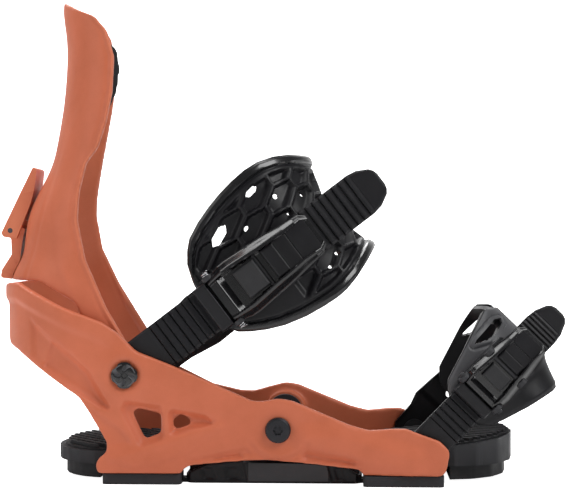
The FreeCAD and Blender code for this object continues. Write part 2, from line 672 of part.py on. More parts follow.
    def pawl(self):
        """Sprung catch that shows in the window of the lever; its tooth stands over the ribs."""
        half = self.window()[2] - 1
        pin, hinge = self.pin_y, self.pawl_hinge()
        near = self.window()[0] + 2 * self.scale
        tooth = -self.outer - 0.5
        outline = [(near, pin - 8), (near + 3, pin - 9), (hinge - 4, pin - 9), (hinge + 2.5, pin - 4),
                   (hinge + 2.5, pin + 2.2), (hinge - 3, pin + 2.2), (near + 5, pin - 1),
                   (near + 2.5, tooth), (near, tooth)]
        body = Part.Face(rounded_wire([Vec(u, y, -half) for u, y in outline], 0.8))
        body = body.extrude(Vec(0, 0, 2 * half))
        bore = Part.makeCylinder(1.5 + size("run_gap"), 80, Vec(hinge, pin, -40))
        return self.add("pawl", body.cut(bore))


def arch(half, crest, corner, wall, low, high):
    """Arch over the foot: legs along X at +-half, rounded by corner below the crest, extruded along Z."""
    shapes = []
    for inset, extra in ((0, 0), (wall, 1)):
        reach, top, radius = half - inset, crest - inset, corner - inset
        outline = [Vec(-extra, -reach, low - extra), Vec(top, -reach, low - extra), Vec(top, reach, low - extra),
                   Vec(-extra, reach, low - extra)]
        solid = Part.Face(Part.makePolygon(outline + [outline[0]])).extrude(Vec(0, 0, high - low + 2 * extra))
        edges = [e for e in solid.Edges
                 if abs(e.tangentAt(e.FirstParameter).z) > 0.9 and e.BoundBox.XMin > top - 1]
        shapes.append(solid.makeFillet(radius, edges))
    return shapes[0].cut(shapes[1])


def ankle_pad(ankle):
    """Wide pad over the instep, higher toward the shin."""
    half, crest = size("ankle_pad_half_width"), size("ankle_crest")
    outline = [(60.5, -14), (72, -24), (90, -32.4), (115, -37.6), (131, -38), (150, -32), (162, -27.5), (162, 38),
               (151, 45.5), (134, 52), (115, 52.3), (96, 47.6), (76, 40.2), (66, 30.8), (60.5, 15)]
    body = arch(half, crest, half - 0.5, size("pad_wall"), -45, 60).common(side_prism(outline, -80, 80, 9))
    holes = []
    for u, v in ((88, 29), (113, 36), (106, 22), (140, 24), (130, -22), (116, -30)):
        points = [(u + 4 * math.cos(math.radians(a)), v + 4 * math.sin(math.radians(a)))
                  for a in range(0, 360, 60)]
        holes.append(side_prism(points, -80, 80, 1))
    return ankle.add("pad", body.cut(holes))


def toe_cap(toe):
    """Cap over the toe: a side band with a long window and an open frame in front."""
    half, crest = size("toe_cap_half_width"), size("toe_crest")
    outline = [(32, -14), (38, -19), (60, -26), (80, -31), (100, -32), (100, 32), (84, 30.6), (69.4, 26.1),
               (54.6, 21.8), (40, 17.4), (32, 9)]
    body = arch(half, crest, 32, 4.5, -40, 40).common(side_prism(outline, -80, 80, 8))
    slot = side_prism([(58, 11), (58, 17), (70, 21), (76, 18), (72, 12)], -80, 80, 2)
    return toe.add("cap", body.cut(slot))


# ---------------------------------------------------------------- build

mounting_disc()
base_plate()
base_footbed()
kingpin_sleeves()
kingpin_screws()
bushings("heel_bushings", -101.5, -56, 35, 55)
bushings("toe_bushings", 48.6, 94.6, 35, 60)

hanger_frame()
heel_pad()
heel_tread()
toe_ramp()
toe_tread()
ankle_screws()
ankle_nuts()
toe_pegs()

highback_shell()
highback_liner()
pivot_bushes()
lean_block()
lean_pin()
lean_lever()

ankle = Strap("ankle", scale=1.0, length=185, hinge=71.5, lever_end=137)
toe = Strap("toe", scale=0.72, length=112, hinge=47.5, lever_end=91)
for strap, bolt_at, travel, pad_half in ((ankle, 84, (-10, 6), size("ankle_pad_half_width")),
                                         (toe, 50, (-7, 5), size("toe_cap_half_width"))):
    strap.ladder()
    strap.link(bolt_at, travel)
    strap.link_bolt(bolt_at, pad_half)
    strap.buckle_base(pad_half)
    strap.buckle_pins()
    strap.lever()
    strap.lever_cover()
    strap.pawl()
ankle_pad(ankle)
toe_cap(toe)

doc.recompute()

for obj in doc.Objects:
    if "Invalid" in obj.State or "Error" in obj.State:
        raise RuntimeError("%s failed: %s" % (obj.Label, obj.State))
os.makedirs("parts", exist_ok=True)
for obj in NODES:
    if obj.Shape.isNull() or not obj.Shape.isValid():
        raise RuntimeError("%s has no valid shape" % obj.Label)
    obj.Shape.exportStep("parts/%s.step" % obj.Label)
    box = obj.Shape.BoundBox
    print("%-18s %2d solids  x %.1f..%.1f  y %.1f..%.1f  z %.1f..%.1f" % (
        obj.Label, len(obj.Shape.Solids), box.XMin, box.XMax, box.YMin, box.YMax, box.ZMin, box.ZMax))
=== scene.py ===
import json
import math

import bpy
import numpy as np
from mathutils import Matrix, Vector


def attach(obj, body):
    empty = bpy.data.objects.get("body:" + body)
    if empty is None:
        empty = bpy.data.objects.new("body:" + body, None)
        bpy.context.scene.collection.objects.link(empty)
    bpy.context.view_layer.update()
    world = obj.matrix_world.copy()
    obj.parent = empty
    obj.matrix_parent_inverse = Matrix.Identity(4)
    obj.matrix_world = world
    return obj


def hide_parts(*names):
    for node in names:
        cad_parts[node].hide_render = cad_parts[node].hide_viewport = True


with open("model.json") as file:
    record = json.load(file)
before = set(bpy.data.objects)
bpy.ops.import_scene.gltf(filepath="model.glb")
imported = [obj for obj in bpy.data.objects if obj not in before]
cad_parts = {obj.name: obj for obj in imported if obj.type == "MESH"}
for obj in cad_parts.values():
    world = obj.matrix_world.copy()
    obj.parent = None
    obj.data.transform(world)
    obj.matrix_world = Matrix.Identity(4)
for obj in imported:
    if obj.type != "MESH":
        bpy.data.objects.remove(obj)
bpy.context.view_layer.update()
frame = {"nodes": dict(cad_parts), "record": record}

MM = 0.001

# The camera, in metres, and the direction it looks in.
EYE = (0.0416, -0.987, 0.1405)
VIEW_DIRECTION = (-0.040466, 1.0, -0.0058247)
LENS = 103.0

# Places on the part, in millimetres as (x, z), and the heel loop's plan.
PIVOT = (-88, 63)
KINGPIN = (0, 31.9)
LOOP_START = -116
LOOP_DEPTH = 50
RAIL_HALF_WIDTH = 55


# ------------------------------------------------------------------ materials

class Graph:
    """A node material whose shader sockets are set by name."""

    def __init__(self, name, **sockets):
        self.material = bpy.data.materials.new(name)
        self.material.use_nodes = True
        self.nodes = self.material.node_tree.nodes
        self.links = self.material.node_tree.links
        self.shader = self.nodes["Principled BSDF"]
        for socket, value in sockets.items():
            self.shader.inputs[socket.replace("_", " ")].default_value = value
        self.place = self.node("ShaderNodeTexCoord").outputs["Object"]

    def node(self, kind, **settings):
        made = self.nodes.new(kind)
        for key, value in settings.items():
            setattr(made, key, value)
        return made

    def noise(self, per_metre, detail=3.0, roughness=0.5):
        texture = self.node("ShaderNodeTexNoise")
        texture.inputs["Scale"].default_value = per_metre
        texture.inputs["Detail"].default_value = detail
        texture.inputs["Roughness"].default_value = roughness
        self.links.new(self.place, texture.inputs["Vector"])
        return texture.outputs["Fac"]

    def span(self, value, low, high, to_low, to_high):
        """value from low..high to to_low..to_high, clamped."""
        made = self.node("ShaderNodeMapRange")
        for socket, number in (("From Min", low), ("From Max", high), ("To Min", to_low), ("To Max", to_high)):
            made.inputs[socket].default_value = number
        self.links.new(value, made.inputs["Value"])
        return made.outputs["Result"]

    def mix(self, factor, first, second):
        made = self.node("ShaderNodeMix", data_type="RGBA")
        self.links.new(factor, made.inputs["Factor"])
        for socket, colour in ((made.inputs[6], first), (made.inputs[7], second)):
            if isinstance(colour, tuple):
                socket.default_value = (*colour, 1.0)
            else:
                self.links.new(colour, socket)
        return made.outputs[2]

    def colour(self, value):
        self.links.new(value, self.shader.inputs["Base Color"])

    def rough(self, value):
        self.links.new(value, self.shader.inputs["Roughness"])

    def bump(self, *layers):
        """Layers of (height, strength, distance in metres), added one over the other."""
        normal = None
        for height, strength, distance in layers:
            made = self.node("ShaderNodeBump")
            made.inputs["Strength"].default_value = strength
            made.inputs["Distance"].default_value = distance
            self.links.new(height, made.inputs["Height"])
            if normal:
                self.links.new(normal, made.inputs["Normal"])
            normal = made.outputs["Normal"]
        self.links.new(normal, self.shader.inputs["Normal"])

    def glow_for_camera(self, strength):
        """Lit by itself where the camera sees it directly, so the paper is even and white."""
        seen = self.node("ShaderNodeLightPath").outputs["Is Camera Ray"]
        self.links.new(self.span(seen, 0.0, 1.0, 0.0, strength), self.shader.inputs["Emission Strength"])

    def edge_wear_and_highlight(self, low, high):
        """Rises from 0 to 1 on sharp outer edges, where the lighter edge colour is partly wear and partly a painted
        highlight.
        """
        return self.span(self.node("ShaderNodeNewGeometry").outputs["Pointiness"], low, high, 0.0, 1.0)


def moulded(name, base, lighter, darker, rough, grain, edge=None, **sockets):
    """Moulded plastic: cloudy colour, fine spark-eroded grain, uneven sheen and lighter outer edges, partly rubbed
    wear and partly a painted highlight.
    """
    graph = Graph(name, **sockets)
    cloud = graph.span(graph.noise(38.0, 4.0, 0.6), 0.3, 0.7, 0.0, 1.0)
    speck = graph.span(graph.noise(2600.0, 2.0, 0.7), 0.35, 0.75, 0.0, 1.0)
    colour = graph.mix(cloud, darker, lighter)
    colour = graph.mix(graph.span(speck, 0.0, 1.0, 0.0, 0.35), colour, base)
    # lighter edge colour on sharp outer edges: partly rubbed wear, partly a painted highlight
    if edge:
        colour = graph.mix(graph.span(graph.edge_wear_and_highlight(0.53, 0.62), 0.0, 1.0, 0.0, 0.6), colour, edge)
    graph.colour(colour)
    graph.rough(graph.span(graph.noise(90.0, 3.0, 0.6), 0.3, 0.7, rough[0], rough[1]))
    graph.bump((graph.noise(1900.0, 2.0, 0.6), grain, 0.00015), (graph.noise(60.0, 3.0), 0.08, 0.0004))
    return graph.material


# each edge colour below is lighter than its base: partly wear, partly a painted highlight on the outer edges
ORANGE = moulded("orange_nylon", (0.68, 0.175, 0.085), (0.64, 0.165, 0.08), (0.55, 0.135, 0.06),
                 (0.42, 0.52), 0.28, edge=(0.80, 0.27, 0.14), Specular_IOR_Level=0.42)
BLACK = moulded("black_nylon", (0.0165, 0.016, 0.0185), (0.014, 0.0135, 0.016), (0.009, 0.009, 0.010),
                (0.42, 0.55), 0.25, edge=(0.05, 0.05, 0.055), Specular_IOR_Level=0.28)
GLOSS = moulded("black_gloss", (0.0098, 0.0098, 0.0112), (0.0084, 0.0084, 0.0098), (0.0056, 0.0056, 0.0063),
                (0.16, 0.24), 0.05, edge=(0.025, 0.025, 0.028), Coat_Weight=0.35, Coat_Roughness=0.08)
RUBBER = moulded("black_rubber", (0.022, 0.022, 0.024), (0.026, 0.025, 0.028), (0.014, 0.014, 0.015),
                 (0.68, 0.85), 0.6, edge=(0.045, 0.045, 0.05), Specular_IOR_Level=0.3)
GREY = moulded("grey_panel", (0.075, 0.075, 0.08), (0.07, 0.07, 0.075), (0.055, 0.055, 0.06),
               (0.36, 0.46), 0.3, edge=(0.12, 0.12, 0.125), Specular_IOR_Level=0.5)
STEEL = moulded("dark_steel", (0.05, 0.05, 0.055), (0.045, 0.045, 0.05), (0.02, 0.02, 0.022),
                (0.30, 0.42), 0.15, edge=(0.2, 0.2, 0.21), Metallic=0.85)
BRIGHT = moulded("bright_steel", (0.62, 0.62, 0.63), (0.58, 0.58, 0.6), (0.4, 0.4, 0.42),
                 (0.2, 0.3), 0.1, Metallic=1.0)
SATIN = moulded("black_satin", (0.013, 0.0125, 0.015), (0.0115, 0.011, 0.0135), (0.0075, 0.0075, 0.0085),
                (0.34, 0.46), 0.2, edge=(0.06, 0.06, 0.066), Specular_IOR_Level=0.3)
GRAINED = moulded("grained_button", (0.021, 0.021, 0.0231), (0.0182, 0.0182, 0.0203), (0.0098, 0.0098, 0.0112),
                  (0.5, 0.65), 1.0, edge=(0.06, 0.06, 0.065), Specular_IOR_Level=0.5)
PANEL = moulded("base_centre_panel", (0.040, 0.038, 0.042), (0.037, 0.035, 0.039), (0.030, 0.029, 0.032),
                (0.4, 0.5), 0.3, edge=(0.08, 0.08, 0.085), Specular_IOR_Level=0.5)

SLOT_OF = {node["node"]: node["material_slot"] for node in frame["record"]["subparts"]}
MATERIALS = {"orange_nylon": ORANGE, "black_nylon": BLACK, "black_gloss": GLOSS, "black_rubber": RUBBER,
             "dark_steel": STEEL, "grey_panel": GREY}
BODY_OF = {node: body for body, nodes in frame["record"]["behaviour"]["bodies"].items() for node in nodes}


def paint(obj, material):
    obj.data.materials.clear()
    obj.data.materials.append(material)


def soften(obj, width):
    """Rounded edges on a CAD node or a new piece, by modifiers only."""
    bevel = obj.modifiers.new("edge", "BEVEL")
    bevel.width = width
    bevel.segments = 2
    bevel.limit_method = "ANGLE"
    bevel.angle_limit = math.radians(35)
    bevel.harden_normals = True


for node_name, node_object in frame["nodes"].items():
    node_object.data.materials.clear()
    node_object.data.materials.append(BLACK if "buckle_pins" in node_name else MATERIALS[SLOT_OF[node_name]])


# ------------------------------------------------------------------ mesh helpers

def mesh_object(name, points, faces, material):
    mesh = bpy.data.meshes.new(name)
    mesh.from_pydata([tuple(p) for p in points], [], faces)
    mesh.update()
    mesh.validate()
    obj = bpy.data.objects.new(name, mesh)
    bpy.context.scene.collection.objects.link(obj)
    mesh.materials.append(material)
    mesh.shade_smooth()
    return obj


def stand_for(piece, node, *others):
    """piece replaces a CAD node and rides its body."""
    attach(piece, BODY_OF[node])
    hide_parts(node, *others)


def baked(obj, *modifiers):
    """Apply modifiers, given as (kind, settings), to the mesh of obj."""
    for kind, settings in modifiers:
        made = obj.modifiers.new(kind, kind)
        for key, value in settings.items():
            setattr(made, key, value)
    bpy.context.view_layer.update()
    graph = bpy.context.evaluated_depsgraph_get()
    mesh = bpy.data.meshes.new_from_object(obj.evaluated_get(graph))
    obj.modifiers.clear()
    old = obj.data
    obj.data = mesh
    if old.users == 0:
        bpy.data.meshes.remove(old)


def remeshed(name, node, material, rounds):
    """A fresh even mesh in the shape of a CAD node, smoothed over by so many rounds."""
    source = frame["nodes"][node]
    obj = bpy.data.objects.new(name, source.data.copy())
    bpy.context.scene.collection.objects.link(obj)
    baked(obj, ("REMESH", {"mode": "VOXEL", "voxel_size": 1.0 * MM, "adaptivity": 0.0}),
          ("SMOOTH", {"factor": 0.5, "iterations": rounds}))
    paint(obj, material)
    obj.data.shade_smooth()
    return obj


def coordinates(mesh):
    flat = np.empty(len(mesh.vertices) * 3)
    mesh.vertices.foreach_get("co", flat)
    return flat.reshape(-1, 3)


def normals(mesh):
    flat = np.empty(len(mesh.vertices) * 3)
    mesh.vertices.foreach_get("normal", flat)
    return flat.reshape(-1, 3)


def move_points(mesh, points):
    mesh.vertices.foreach_set("co", points.ravel())
    mesh.update()


def polygon_distance(x, z, outline):
    """Signed distance to a closed outline, negative inside."""
    points = np.array(outline, dtype=float)
    best = np.full(x.shape, 1e9)
    inside = np.zeros(x.shape, dtype=bool)
    for (ax, az), (bx, bz) in zip(points, np.roll(points, -1, axis=0)):
        dx, dz = bx - ax, bz - az
        t = np.clip(((x - ax) * dx + (z - az) * dz) / (dx * dx + dz * dz), 0, 1)
        best = np.minimum(best, np.hypot(x - ax - t * dx, z - az - t * dz))
        crosses = (az > z) != (bz > z)
        with np.errstate(divide="ignore", invalid="ignore"):
            at = ax + (z - az) / (bz - az) * dx
        inside ^= crosses & (x < at)
    return np.where(inside, -best, best)


def ramp(value, low, high):
    """Smooth step from 0 at low to 1 at high."""
    t = np.clip((value - low) / (high - low), 0, 1)
    return t * t * (3 - 2 * t)


def recess(x, z, outline, depth, wall):
    """Depth of a pocket whose walls lean in over wall millimetres."""
    return -depth * ramp(-polygon_distance(x, z, outline), 0, wall)


def raised(x, z, outline, height, skirt):
    """Height of a plateau whose flanks fall away over skirt millimetres."""
    return height * (1 - ramp(polygon_distance(x, z, outline), 0, skirt))


def strap_frame(angle, x, z):
    """Matrix from a strap's own axes (along, across, up), in metres, to the object's frame."""
    turn = Matrix.Rotation(math.radians(-angle), 4, "Y")
    return Matrix.Translation((x * MM, 0, z * MM)) @ turn


ANKLE_ANGLE = 37.3
ANKLE = strap_frame(ANKLE_ANGLE, *PIVOT)
ANKLE_LADDER = strap_frame(ANKLE_ANGLE, PIVOT[0] - 0.3, PIVOT[1] + 0.5)
TOE = strap_frame(45.9, 82, 19.7)


def closed_grid(outer, inner, keep=None):
    """Points and faces of a slab between two grids of points; faces where keep is false are left out."""
    rows, columns = outer.shape[:2]
    points = np.concatenate([outer.reshape(-1, 3), inner.reshape(-1, 3)])
    if keep is None:
        keep = np.ones((rows - 1, columns - 1), dtype=bool)
    under = rows * columns
    faces = []
    for i in range(rows - 1):
        for j in range(columns - 1):
            if not keep[i, j]:
                continue
            a, b = i * columns + j, i * columns + j + 1
            c, d = b + columns, a + columns
            faces.append((a, b, c, d))
            faces.append((under + d, under + c, under + b, under + a))
            for near, far, ni, nj in ((b, a, i - 1, j), (c, b, i, j + 1), (d, c, i + 1, j), (a, d, i, j - 1)):
                if not (0 <= ni < rows - 1 and 0 <= nj < columns - 1 and keep[ni, nj]):
                    faces.append((near, far, under + far, under + near))
    return points, faces


def slab_piece(name, matrix, outer, inner, material, keep=None, flip=False, sharp=32):
    """A slab given in millimetres in a strap's own axes, carried into the object's frame."""
    points, faces = closed_grid(outer, inner, keep)
    used = np.unique(np.array([i for face in faces for i in face]))
    renumber = np.full(len(points), -1)
    renumber[used] = np.arange(len(used))
    faces = [tuple(int(renumber[i]) for i in (face[::-1] if flip else face)) for face in faces]
    turned = np.array(matrix)
    placed = points[used] * MM @ turned[:3, :3].T + turned[:3, 3]
    obj = mesh_object(name, placed, faces, material)
    obj.data.set_sharp_from_angle(angle=math.radians(sharp))
    return obj


def heightfield(name, matrix, along, half, outer, inner, material, rows, sharp=32):
    """Slab over a strap: outer and inner are distances outward (toward -Y) as functions of u and v."""
    across = np.sin(np.linspace(-1, 1, rows) * math.pi / 2) * 0.35 + np.linspace(-1, 1, rows) * 0.65
    u = np.repeat(along[:, None], rows, 1)
    v = half(u) * across[None, :]
    grids = [np.stack([u, -shape(u, v), v], -1) for shape in (outer, inner)]
    return slab_piece(name, matrix, *grids, material, sharp=sharp)


def level(value):
    """The same height or width everywhere."""
    return lambda u, v=None: np.full_like(u, value)


def curve(xs, ys):
    """Straight runs through the points (xs, ys)."""
    return lambda u: np.interp(u, xs, ys)


def cushion(height, edge, u0, u1, half):
    """Flat top that rounds off over edge near the borders of a block."""
    def shape(u, v):
        near = np.minimum(np.minimum(u - u0, u1 - u), half - np.abs(v))
        t = np.clip(near / edge, 0, 1)
        return height - edge * (1 - np.sqrt(1 - (1 - t) ** 2))
    return shape


class Arch:
    """Cross-section of a pad over the foot: near leg along u, rounded corner, crest, far leg."""

    def __init__(self, half, crest, corner):
        self.half, self.corner = half, corner
        self.bend = crest - corner
        self.quarter = corner * math.pi / 2
        self.flat = half - corner
        self.middle = self.bend + self.quarter + self.flat
        self.end = 2 * self.middle

    def folded(self, s):
        """Distance from the nearer end of the arch."""
        return np.where(s > self.middle, self.end - s, s)

    def place(self, s, v, lift):
        """Point at distance s along the arch, v up, moved outward by lift."""
        side = np.where(s > self.middle, 1.0, -1.0)
        s = self.folded(s)
        turn = np.clip((s - self.bend) / self.corner, 0, math.pi / 2)
        over = np.clip(s - self.bend - self.quarter, 0, self.flat)
        u = np.minimum(s, self.bend) + self.corner * np.sin(turn)
        y = self.flat - over + self.corner * np.cos(turn)
        u = u + lift * np.sin(turn)
        y = y + lift * np.cos(turn)
        return np.stack([u, side * y, v], -1)

    def reach(self, s):
        """How far along u the arch has come at s."""
        s = self.folded(s)
        turn = np.clip((s - self.bend) / self.corner, 0, math.pi / 2)
        return np.minimum(s, self.bend) + self.corner * np.sin(turn)


def arch_piece(name, matrix, arch, s_range, step, low, high, outer, thickness, material, rows, holes=(),
               under_lift=None):
    """Slab along an arch, between low and high. outer and under_lift give the lift of its two faces at
    (s, v), the inner one lower by thickness; each hole is an outline in (s, v)."""
    s = np.arange(s_range[0], s_range[1] + step / 2, step)
    t = np.linspace(0, 1, rows)
    s = np.repeat(s[:, None], rows, 1)
    reach = arch.reach(s)
    bottom, top = low(reach), high(reach)
    v = bottom + (top - bottom) * t[None, :]
    cut = np.full(s.shape, 1e9)
    for outline in holes:
        cut = np.minimum(cut, polygon_distance(s, v, outline))
    near = np.abs(cut) < 0.62 * step
    if near.any():
        slope_s = np.gradient(cut, axis=0) / step
        slope_v = np.gradient(cut, axis=1) / np.maximum(np.gradient(v, axis=1), 1e-6)
        size = np.maximum(slope_s ** 2 + slope_v ** 2, 0.2)
        s = np.where(near, s - cut * slope_s / size, s)
        v = np.where(near, v - cut * slope_v / size, v)
        cut = np.where(near, 0, cut)
    inside = cut <= 0
    keep = ~(inside[:-1, :-1] & inside[1:, :-1] & inside[:-1, 1:] & inside[1:, 1:])
    lift = outer(s, v)
    top_grid = arch.place(s, v, lift)
    under = arch.place(s, v, (under_lift(s, v) if under_lift else 0) - thickness * np.ones_like(s))
    return slab_piece(name, matrix, top_grid, under, material, keep=keep, sharp=35)


def polar_cap(name, centre, side, rim, height, base, body, material):
    """Round head seen from the side: rim(angle) is its radius, height(r, angle) its face above base."""
    rings, spokes = 26, 144
    angle = np.linspace(0, 2 * math.pi, spokes, endpoint=False)
    points, faces = [], []
    for ring in range(rings + 1):
        share = ring / rings
        radius = rim(angle) * share
        lift = height(radius, angle)
        points.append(np.stack([centre[0] + radius * np.cos(angle), side * (base + lift),
                                centre[1] + radius * np.sin(angle)], -1))
    points.append(np.stack([centre[0] + rim(angle) * np.cos(angle), np.full_like(angle, side * (base - 0.5)),
                            centre[1] + rim(angle) * np.sin(angle)], -1))
    for ring in range(rings + 1):
        for k in range(spokes):
            a, b = ring * spokes + k, ring * spokes + (k + 1) % spokes
            quad = (a, b, b + spokes, a + spokes)
            faces.append(quad if side > 0 else quad[::-1])
    obj = mesh_object(name, np.concatenate(points) * MM, faces, material)
    obj.data.set_sharp_from_angle(angle=math.radians(40))
    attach(obj, body)
    return obj


# ------------------------------------------------------------------ hanger

def hanger():
    """Orange body with its moulded panels, window wells and ridges pushed in or out along the side."""
    piece = remeshed("hanger_shell", "hanger_frame", ORANGE, 3)
    mesh = piece.data
    points = coordinates(mesh)
    facing = normals(mesh)
    x, y, z = points.T / MM
    out_x = np.where(x < LOOP_START, (x - LOOP_START) / LOOP_DEPTH, 0)
    out_y = np.where(x < LOOP_START, y / RAIL_HALF_WIDTH, np.sign(y))
    length = np.maximum(np.hypot(out_x, out_y), 1e-6)
    outward = (facing[:, 0] * out_x + facing[:, 1] * out_y) / length
    height = np.zeros_like(x)
    # rear panel, lower rear facet, the two window wells
    height += recess(x, z, [(-146, 97), (-131, 84.5), (-119.8, 75), (-112.9, 69.8), (-108.3, 64.7),
                            (-104.3, 57.2), (-99.7, 50.3), (-95, 42), (-102.6, 44), (-114, 51),
                            (-125.6, 58.5), (-137, 66), (-145, 72)], 2.2, 4)
    height += recess(x, z, [(-112, 49), (-102, 40.5), (-90.4, 33), (-85, 27), (-84, 22), (-96, 19.4),
                            (-101, 26)], 1.2, 3)
    height += recess(x, z, [(-92, 42), (-88.5, 49), (-66.5, 46), (-65, 27), (-68, 24), (-79, 20.5),
                            (-82, 23)], 1.8, 5)
    height += recess(x, z, [(-64.5, 41), (-62, 44.5), (-41, 41), (-30, 35.5), (-38, 32), (-50, 30.5),
                            (-58, 27.5), (-63, 27)], 2.6, 6)
    # panels under the arch, on both sides of the boss, and the groove round the boss
    for panel in ([(-53.6, 14.6), (-21.7, 21.6), (-17.7, 22), (-14, 17.6), (-16, 16.2), (-52.4, 12.3)],
                  [(12.6, 15.8), (13, 18), (16.5, 21.6), (41, 17), (49, 13.6), (48.6, 11.9), (46.7, 11.3)]):
        height += recess(x, z, panel, 1.3, 1.6)
    radius = np.hypot(x - KINGPIN[0], z - KINGPIN[1])
    height += 0.8 * np.exp(-((radius - 14.5) / 2.4) ** 2) * ramp(-z, -30, -16)
    height -= 0.9 * np.exp(-((radius - 18.2) / 1.3) ** 2) * ramp(-z, -27, -22)
    # wedge on the toe foot and the keel that runs from the heel foot to the boss
    height += raised(x, z, [(18, 27), (35.4, 27.6), (76.2, 15), (76.2, 10.5), (50, 16.7), (29.7, 22)], 2.2, 11)
    height += raised(x, z, [(-95.6, 15.2), (-75.6, 20.4), (-35, 34), (-54, 19), (-74.5, 12.5), (-83, 11.6)],
                     1.2, 4)
    # rolled lip along the top of the heel loop and a soft bulge round the strap pivot
    top = np.interp(x, [-166, -154, -124, -101, -93, -60], [116, 116, 102, 93, 87.5, 68])
    height += 1.5 * (1 - ramp(top - z, 9, 13)) * ramp(-x, 88, 120)
    pivot = np.hypot(x - PIVOT[0], z - PIVOT[1])
    height += 1.3 * np.exp(-((pivot - 11) / 5) ** 2) - 1.0 * (1 - ramp(pivot, 6.5, 9))
    shift = height * MM * np.clip(outward, 0, 1) ** 0.5 * (outward > 0.25)
    points[:, 0] += shift * out_x / length
    points[:, 1] += shift * out_y / length
    move_points(mesh, points)
    baked(piece, ("SMOOTH", {"factor": 0.5, "iterations": 3}))
    paint(piece, ORANGE)
    piece.data.shade_smooth()
    stand_for(piece, "hanger_frame")


def highback():
    """Highback with a bead along its front edge, a fold down the wing, a groove at the spine and a liner."""
    piece = remeshed("highback_skin", "highback_shell", ORANGE, 6)
    mesh = piece.data
    points, facing = coordinates(mesh), normals(mesh)
    x, _, z = points.T / MM
    edge = np.interp(z, [62, 74, 101, 129, 152, 168, 185, 194, 210, 227, 247, 262, 271, 276],
                     [-77.5, -84, -100, -112.2, -117, -116, -112.2, -105, -99.6, -96.3, -95.6, -100, -108, -119])
    crease = np.interp(z, [62, 100, 130, 160, 185, 205, 230], [-96, -117, -128, -134, -131, -122, -109])
    outward = -facing[:, 1]
    behind = edge - x
    bead = 0.9 * (1 - ramp(behind, 1.2, 2.8)) - 0.35 * np.exp(-((behind - 3.6) / 0.9) ** 2)
    fold = 0.9 * ramp(x - crease, -5, 1) * (1 - ramp(z, 215, 245))
    rear = np.interp(z, [110, 200], [-152, -128])
    spine = -1.0 * np.exp(-((x - rear) / 1.6) ** 2) * (1 - ramp(z, 185, 200))
    points[:, 1] -= (bead + fold + spine) * MM * (outward > 0.35) * np.clip(outward, 0, 1)
    move_points(mesh, points)
    baked(piece, ("SMOOTH", {"factor": 0.4, "iterations": 2}))
    paint(piece, ORANGE)
    piece.data.shade_smooth()
    stand_for(piece, "highback_shell")
    liner = remeshed("highback_foam", "highback_liner", RUBBER, 6)
    stand_for(liner, "highback_liner")


# ------------------------------------------------------------------ straps

def hexagon_cells(s, v, first, edges):
    """Distance to the nearest wall of a honeycomb, and to the wall that closes the cell's +s side.

    One cell is centred on first; edges are three neighbouring sides of a cell, as vectors."""
    edges = np.array(edges)
    steps = np.array([edges[1] + edges[2], edges[0] - edges[2], edges[0] + edges[1]])
    out = np.stack([edges[:, 1], -edges[:, 0]], -1) / np.linalg.norm(edges, axis=1)[:, None]
    half = (out * steps).sum(1) / 2
    wall, ahead = np.full(s.shape, -1e9), np.zeros(s.shape)
    for i in range(-6, 9):
        for j in range(-7, 5):
            ds = s - first[0] - i * steps[0, 0] - j * steps[1, 0]
            dv = v - first[1] - i * steps[0, 1] - j * steps[1, 1]
            gaps = [abs(half[k]) - np.abs(out[k, 0] * ds + out[k, 1] * dv) for k in range(3)]
            inside = np.min(gaps, axis=0)
            closer = inside > wall
            wall = np.where(closer, inside, wall)
            ahead = np.where(closer, half[0] - out[0, 0] * ds - out[0, 1] * dv, ahead)
    return wall, ahead


def rounded_hole(s, v, long, wide, lean):
    """Six-sided outline of a drawn-out hole, turned by lean degrees."""
    turn = math.radians(lean)
    corners = [(-0.5, 0), (-0.25, 0.5), (0.3, 0.5), (0.5, 0), (0.25, -0.5), (-0.3, -0.5)]
    return [(s + long * a * math.cos(turn) - wide * b * math.sin(turn),
             v + long * a * math.sin(turn) + wide * b * math.cos(turn)) for a, b in corners]


def seen_through(arch, matrix, s, v):
    """Where the line from the camera through (s, v) on the near side meets the far side of the arch."""
    eye = np.array(EYE) / MM
    near = arch.place(np.array(s), np.array(v), 0.0)
    start = np.array(matrix @ Vector(near * MM)) / MM
    ray = (start - eye) / np.linalg.norm(start - eye)
    back = np.array(matrix.inverted())
    best = None
    for step in np.linspace(20, 110, 181):
        point = back[:3, :3] @ (start + ray * step) + back[:3, 3] / MM
        far_s = arch.end - np.linspace(60, arch.middle, 400)
        line = arch.place(far_s, np.full_like(far_s, point[2]), 0.0)
        gap = np.hypot(line[:, 0] - point[0], line[:, 1] - point[1])
        k = int(np.argmin(gap))
        if best is None or gap[k] < best[0]:
            best = (gap[k], far_s[k], point[2])
    return best[1], best[2]


